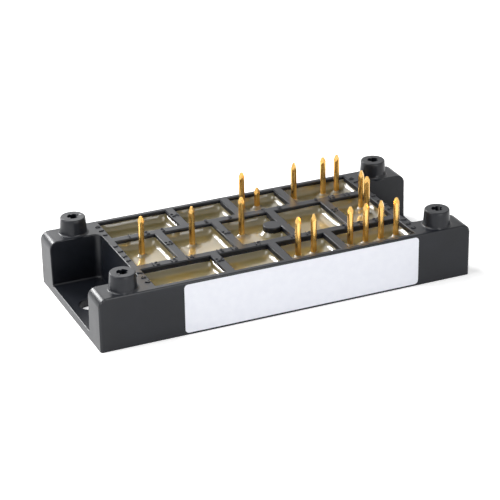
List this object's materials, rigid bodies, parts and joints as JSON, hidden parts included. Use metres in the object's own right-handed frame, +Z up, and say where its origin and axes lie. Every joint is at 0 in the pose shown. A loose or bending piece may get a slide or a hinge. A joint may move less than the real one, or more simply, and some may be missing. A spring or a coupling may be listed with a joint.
{
  "type": "solder-pin power module",
  "caption": "Flat power module with a dark moulded frame, gel-filled lattice of openings, upright contact pins, corner posts for a circuit board and notched screw ends.",
  "frame": {"origin": "middle of the underside, on the plane of the base copper", "axes": "+X along the length, towards the end with the two emitter pins; +Y towards the long side without the label; +Z up along the pins"},
  "size_m": [0.093, 0.0405, 0.0205],
  "materials": {
    "moulding": "matt moulded, glass-filled",
    "copper": "satin copper",
    "ceramic": "matt white alumina",
    "adhesive": "cured silicone adhesive",
    "silicon": "metallised chip",
    "sensor_body": "dark sintered",
    "bond_aluminium": "bright ribbon",
    "pin_plating": "gold-coloured plating",
    "clear_gel": "glossy translucent silicone gel",
    "label_film": "plain white label stock"
  },
  "bodies": {
    "root": {"base_copper": "copper", "brake_switch_chip": "silicon", "bridge_bonds": "bond_aluminium", "ceramic_tile": "ceramic", "chopper_bonds": "bond_aluminium", "contact_pin_01": "pin_plating", "contact_pin_02": "pin_plating", "contact_pin_03": "pin_plating", "contact_pin_04": "pin_plating", "contact_pin_05": "pin_plating", "contact_pin_06": "pin_plating", "contact_pin_07": "pin_plating", "contact_pin_08": "pin_plating", "contact_pin_09": "pin_plating", "contact_pin_10": "pin_plating", "contact_pin_11": "pin_plating", "contact_pin_12": "pin_plating", "contact_pin_13": "pin_plating", "contact_pin_14": "pin_plating", "contact_pin_15": "pin_plating", "contact_pin_16": "pin_plating", "copper_tracks": "copper", "freewheel_diode": "silicon", "gel_fill": "clear_gel", "housing": "moulding", "label": "label_film", "lower_diode_1": "silicon", "lower_diode_2": "silicon", "lower_diode_3": "silicon", "seal_bead": "adhesive", "temperature_sensor": "sensor_body", "upper_diode_1": "silicon", "upper_diode_2": "silicon", "upper_diode_3": "silicon"}
  },
  "joints": []
}
